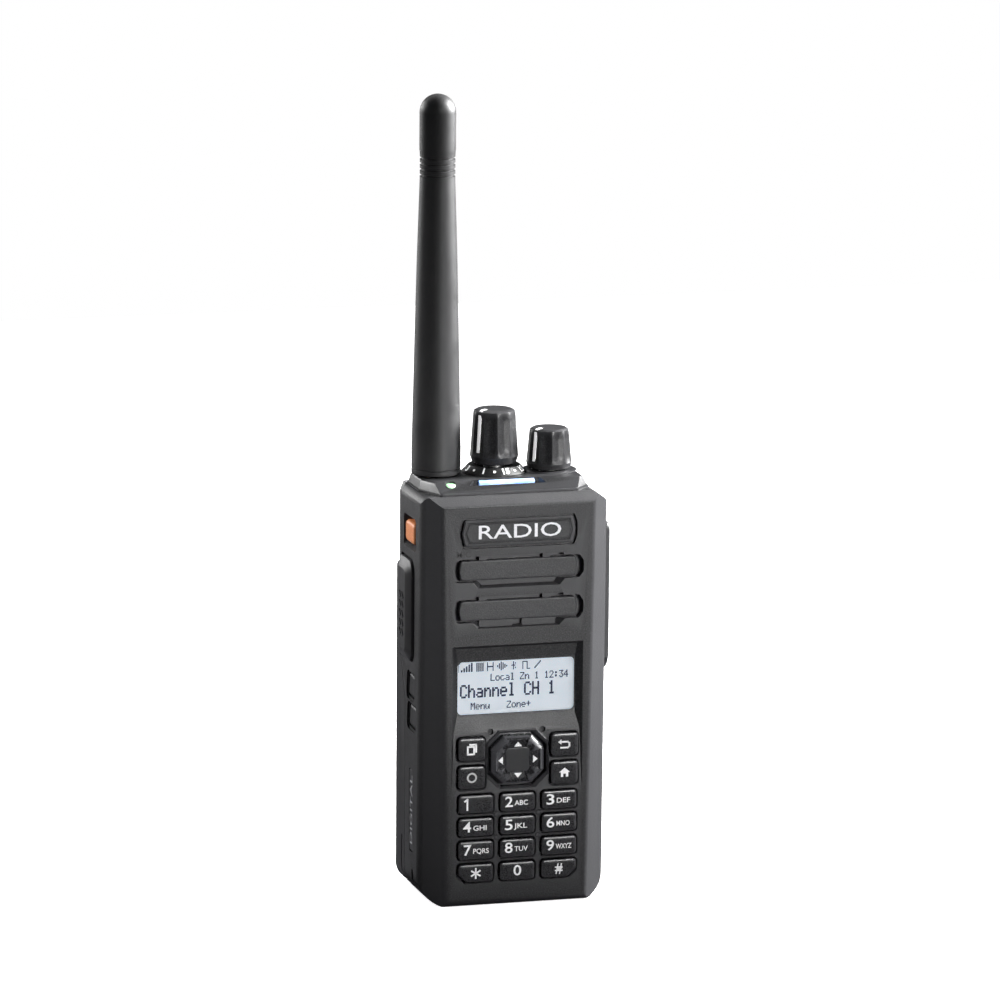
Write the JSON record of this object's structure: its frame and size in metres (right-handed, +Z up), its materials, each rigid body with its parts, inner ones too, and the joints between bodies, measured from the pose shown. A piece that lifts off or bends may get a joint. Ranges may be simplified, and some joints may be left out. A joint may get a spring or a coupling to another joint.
{
  "type": "two way radio",
  "caption": "Handheld two way radio with a whip antenna, two top knobs, a talk button, a display, a full keypad and a rear battery pack.",
  "frame": {"origin": "middle of the flat base, half way across the width, 18 mm behind the front face", "axes": "+Z up along the antenna, -Y out of the front face, -X out of the talk button's side"},
  "size_m": [0.0606, 0.0371, 0.2349],
  "materials": {
    "case_plastic": "fine moulded grain, matte",
    "chassis_metal": "black powder coat on cast aluminium",
    "steel": "zinc plated",
    "black_screw": "black oxide",
    "brass": "nickel flashed, satin",
    "gold_contact": "gold plated",
    "seal_rubber": "matte",
    "panel_plastic": "satin",
    "ring_plastic": "satin with white dial marks",
    "knob_plastic": "satin with a white pointer line",
    "antenna_rubber": "soft matte",
    "led_lens": "translucent green, lit",
    "bar_lens": "translucent, lit",
    "badge_plastic": "satin, blank",
    "grille_plastic": "fine moulded grain, matte",
    "speaker_metal": "plated frame and magnet",
    "speaker_sheet": "woven dust cloth on a doped paper cone",
    "window_clear": "clear hard coated acrylic",
    "lcd_glass": "backlit dot matrix panel",
    "key_plastic": "satin hard key with white legend",
    "mat_rubber": "silicone",
    "board_green": "solder mask",
    "mic_metal": "can",
    "ptt_rubber": "matte",
    "orange_plastic": "orange",
    "side_key_rubber": "matte",
    "cap_plastic": "matte",
    "pack_plastic": "fine moulded grain, matte",
    "cell_wrap": "heat shrink",
    "latch_plastic": "matte",
    "control_body": "plated can and bush"
  },
  "bodies": {
    "radio": {"front_case": "case_plastic", "rear_chassis": "chassis_metal", "chassis_screws": "black_screw", "case_seal": "seal_rubber", "name_plate": "badge_plastic", "speaker_grille": "grille_plastic", "speaker": "speaker_metal", "speaker_cone": "speaker_sheet", "display_window": "window_clear", "lcd_panel": "lcd_glass", "keypad_mat": "mat_rubber", "keypad_board": "board_green", "side_switches": "board_green", "accessory_contacts": "gold_contact", "top_panel": "panel_plastic", "indicator_lens": "led_lens", "light_bar": "bar_lens", "selector_encoder": "control_body", "volume_control": "control_body", "knob_nuts": "brass", "channel_ring": "ring_plastic", "antenna_socket": "brass", "main_board": "board_green", "microphone": "mic_metal"},
    "selector": {"selector_knob": "knob_plastic", "selector_shaft": "steel"},
    "volume": {"volume_knob": "knob_plastic", "volume_shaft": "steel"},
    "antenna": {"antenna_whip": "antenna_rubber", "antenna_plug": "brass"},
    "ptt": {"ptt_button": "ptt_rubber"},
    "emergency": {"side_button": "orange_plastic"},
    "side_upper": {"side_key_upper": "side_key_rubber"},
    "side_lower": {"side_key_lower": "side_key_rubber"},
    "nav_rocker": {"nav_pivot": "steel"},
    "nav": {"nav_key": "key_plastic"},
    "port_cover": {"accessory_cap": "cap_plastic"},
    "port_screw": {"accessory_screw": "black_screw"},
    "battery": {"battery_case": "pack_plastic", "battery_lid": "pack_plastic", "battery_terminals": "gold_contact", "battery_cells": "cell_wrap"},
    "latch": {"battery_latch": "latch_plastic"},
    "catch": {"safety_catch": "latch_plastic"},
    "key_1_body": {"key_1": "key_plastic"},
    "key_2_body": {"key_2": "key_plastic"},
    "key_3_body": {"key_3": "key_plastic"},
    "key_4_body": {"key_4": "key_plastic"},
    "key_5_body": {"key_5": "key_plastic"},
    "key_6_body": {"key_6": "key_plastic"},
    "key_7_body": {"key_7": "key_plastic"},
    "key_8_body": {"key_8": "key_plastic"},
    "key_9_body": {"key_9": "key_plastic"},
    "key_0_body": {"key_0": "key_plastic"},
    "key_star_body": {"key_star": "key_plastic"},
    "key_hash_body": {"key_hash": "key_plastic"},
    "key_menu_body": {"key_menu": "key_plastic"},
    "key_circle_body": {"key_circle": "key_plastic"},
    "key_back_body": {"key_back": "key_plastic"},
    "key_home_body": {"key_home": "key_plastic"}
  },
  "joints": [
    {"name": "selector_turn", "type": "hinge", "parent": "radio", "child": "selector", "pos_m": [-0.0019, 0.002, 0.13], "axis": [0, 0, 1], "range_deg": [-337.5, 0]},
    {"name": "volume_turn", "type": "hinge", "parent": "radio", "child": "volume", "pos_m": [0.0146, 0.002, 0.13], "axis": [0, 0, 1], "range_deg": [-270, 0]},
    {"name": "antenna_unscrew", "type": "hinge", "parent": "radio", "child": "antenna", "pos_m": [-0.0193, 0.002, 0.124], "axis": [0, 0, 1], "range_deg": [0, 1440]},
    {"name": "ptt_press", "type": "slide", "parent": "radio", "child": "ptt", "axis": [1, 0, 0], "range_m": [0, 0.0006], "stiffness_N_per_m": 1500, "springref_m": -0.0006},
    {"name": "emergency_press", "type": "slide", "parent": "radio", "child": "emergency", "axis": [1, 0, 0], "range_m": [0, 0.0007], "stiffness_N_per_m": 900, "springref_m": -0.0006},
    {"name": "side_upper_press", "type": "slide", "parent": "radio", "child": "side_upper", "axis": [1, 0, 0], "range_m": [0, 0.0007], "stiffness_N_per_m": 900, "springref_m": -0.0006},
    {"name": "side_lower_press", "type": "slide", "parent": "radio", "child": "side_lower", "axis": [1, 0, 0], "range_m": [0, 0.0007], "stiffness_N_per_m": 900, "springref_m": -0.0006},
    {"name": "key_1_press", "type": "slide", "parent": "radio", "child": "key_1_body", "axis": [0, 1, 0], "range_m": [0, 0.0006], "stiffness_N_per_m": 900, "springref_m": -0.0005},
    {"name": "key_2_press", "type": "slide", "parent": "radio", "child": "key_2_body", "axis": [0, 1, 0], "range_m": [0, 0.0006], "stiffness_N_per_m": 900, "springref_m": -0.0005},
    {"name": "key_3_press", "type": "slide", "parent": "radio", "child": "key_3_body", "axis": [0, 1, 0], "range_m": [0, 0.0006], "stiffness_N_per_m": 900, "springref_m": -0.0005},
    {"name": "key_4_press", "type": "slide", "parent": "radio", "child": "key_4_body", "axis": [0, 1, 0], "range_m": [0, 0.0006], "stiffness_N_per_m": 900, "springref_m": -0.0005},
    {"name": "key_5_press", "type": "slide", "parent": "radio", "child": "key_5_body", "axis": [0, 1, 0], "range_m": [0, 0.0006], "stiffness_N_per_m": 900, "springref_m": -0.0005},
    {"name": "key_6_press", "type": "slide", "parent": "radio", "child": "key_6_body", "axis": [0, 1, 0], "range_m": [0, 0.0006], "stiffness_N_per_m": 900, "springref_m": -0.0005},
    {"name": "key_7_press", "type": "slide", "parent": "radio", "child": "key_7_body", "axis": [0, 1, 0], "range_m": [0, 0.0006], "stiffness_N_per_m": 900, "springref_m": -0.0005},
    {"name": "key_8_press", "type": "slide", "parent": "radio", "child": "key_8_body", "axis": [0, 1, 0], "range_m": [0, 0.0006], "stiffness_N_per_m": 900, "springref_m": -0.0005},
    {"name": "key_9_press", "type": "slide", "parent": "radio", "child": "key_9_body", "axis": [0, 1, 0], "range_m": [0, 0.0006], "stiffness_N_per_m": 900, "springref_m": -0.0005},
    {"name": "key_0_press", "type": "slide", "parent": "radio", "child": "key_0_body", "axis": [0, 1, 0], "range_m": [0, 0.0006], "stiffness_N_per_m": 900, "springref_m": -0.0005},
    {"name": "key_star_press", "type": "slide", "parent": "radio", "child": "key_star_body", "axis": [0, 1, 0], "range_m": [0, 0.0006], "stiffness_N_per_m": 900, "springref_m": -0.0005},
    {"name": "key_hash_press", "type": "slide", "parent": "radio", "child": "key_hash_body", "axis": [0, 1, 0], "range_m": [0, 0.0006], "stiffness_N_per_m": 900, "springref_m": -0.0005},
    {"name": "key_menu_press", "type": "slide", "parent": "radio", "child": "key_menu_body", "axis": [0, 1, 0], "range_m": [0, 0.0006], "stiffness_N_per_m": 900, "springref_m": -0.0005},
    {"name": "key_circle_press", "type": "slide", "parent": "radio", "child": "key_circle_body", "axis": [0, 1, 0], "range_m": [0, 0.0006], "stiffness_N_per_m": 900, "springref_m": -0.0005},
    {"name": "key_back_press", "type": "slide", "parent": "radio", "child": "key_back_body", "axis": [0, 1, 0], "range_m": [0, 0.0006], "stiffness_N_per_m": 900, "springref_m": -0.0005},
    {"name": "key_home_press", "type": "slide", "parent": "radio", "child": "key_home_body", "axis": [0, 1, 0], "range_m": [0, 0.0006], "stiffness_N_per_m": 900, "springref_m": -0.0005},
    {"name": "nav_up_down", "type": "hinge", "parent": "radio", "child": "nav_rocker", "pos_m": [0.00015, -0.015, 0.04325], "axis": [1, 0, 0], "range_deg": [-2, 2], "stiffness_Nm_per_rad": 0.05},
    {"name": "nav_left_right", "type": "hinge", "parent": "nav_rocker", "child": "nav", "pos_m": [0.00015, -0.015, 0.04325], "axis": [0, 0, 1], "range_deg": [-2, 2], "stiffness_Nm_per_rad": 0.05},
    {"name": "cover_lift", "type": "slide", "parent": "radio", "child": "port_cover", "axis": [1, 0, 0], "range_m": [0, 0.01]},
    {"name": "cover_screw_turn", "type": "hinge", "parent": "port_cover", "child": "port_screw", "pos_m": [0.028, -0.00237, 0.0715], "axis": [1, 0, 0], "range_deg": [0, 1080]},
    {"name": "battery_swing", "type": "hinge", "parent": "radio", "child": "battery", "pos_m": [0, 0.012, 0.0979], "axis": [1, 0, 0], "range_deg": [0, 14]},
    {"name": "latch_press", "type": "slide", "parent": "radio", "child": "latch", "axis": [0, -1, 0], "range_m": [0, 0.001], "stiffness_N_per_m": 600, "springref_m": -0.0006},
    {"name": "catch_slide", "type": "slide", "parent": "radio", "child": "catch", "axis": [1, 0, 0], "range_m": [0, 0.004]}
  ]
}
